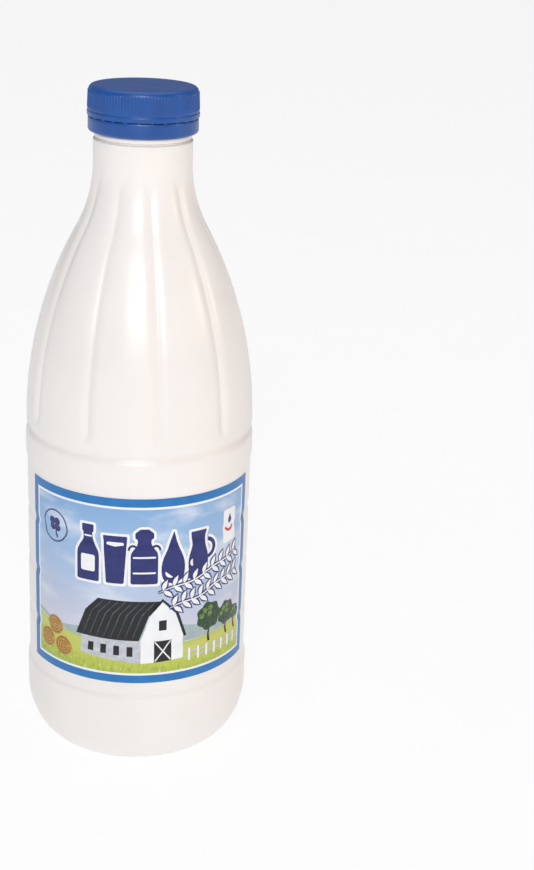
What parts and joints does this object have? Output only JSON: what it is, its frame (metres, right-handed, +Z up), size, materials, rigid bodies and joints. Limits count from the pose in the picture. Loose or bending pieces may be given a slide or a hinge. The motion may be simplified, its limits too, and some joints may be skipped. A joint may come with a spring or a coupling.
{
  "type": "plastic milk bottle",
  "caption": "Round white plastic bottle of milk with a fluted shoulder, a ribbed label panel, a blue screw cap over a tamper band, and a picture label.",
  "frame": {"origin": "middle of the base, on the surface that the bottle stands on", "axes": "+Z up along the bottle's axis; the front label faces -Y; +X is to the right of someone looking at the label"},
  "size_m": [0.086, 0.086, 0.254],
  "materials": {
    "bottle": "glossy white blow moulded polyethylene",
    "cap": "glossy blue moulded polyethylene",
    "label": "coated printed paper"
  },
  "bodies": {
    "root": {"bottle": "bottle", "cap": "cap", "tamper_band": "cap", "label_front": "label", "label_back": "label"}
  },
  "joints": []
}
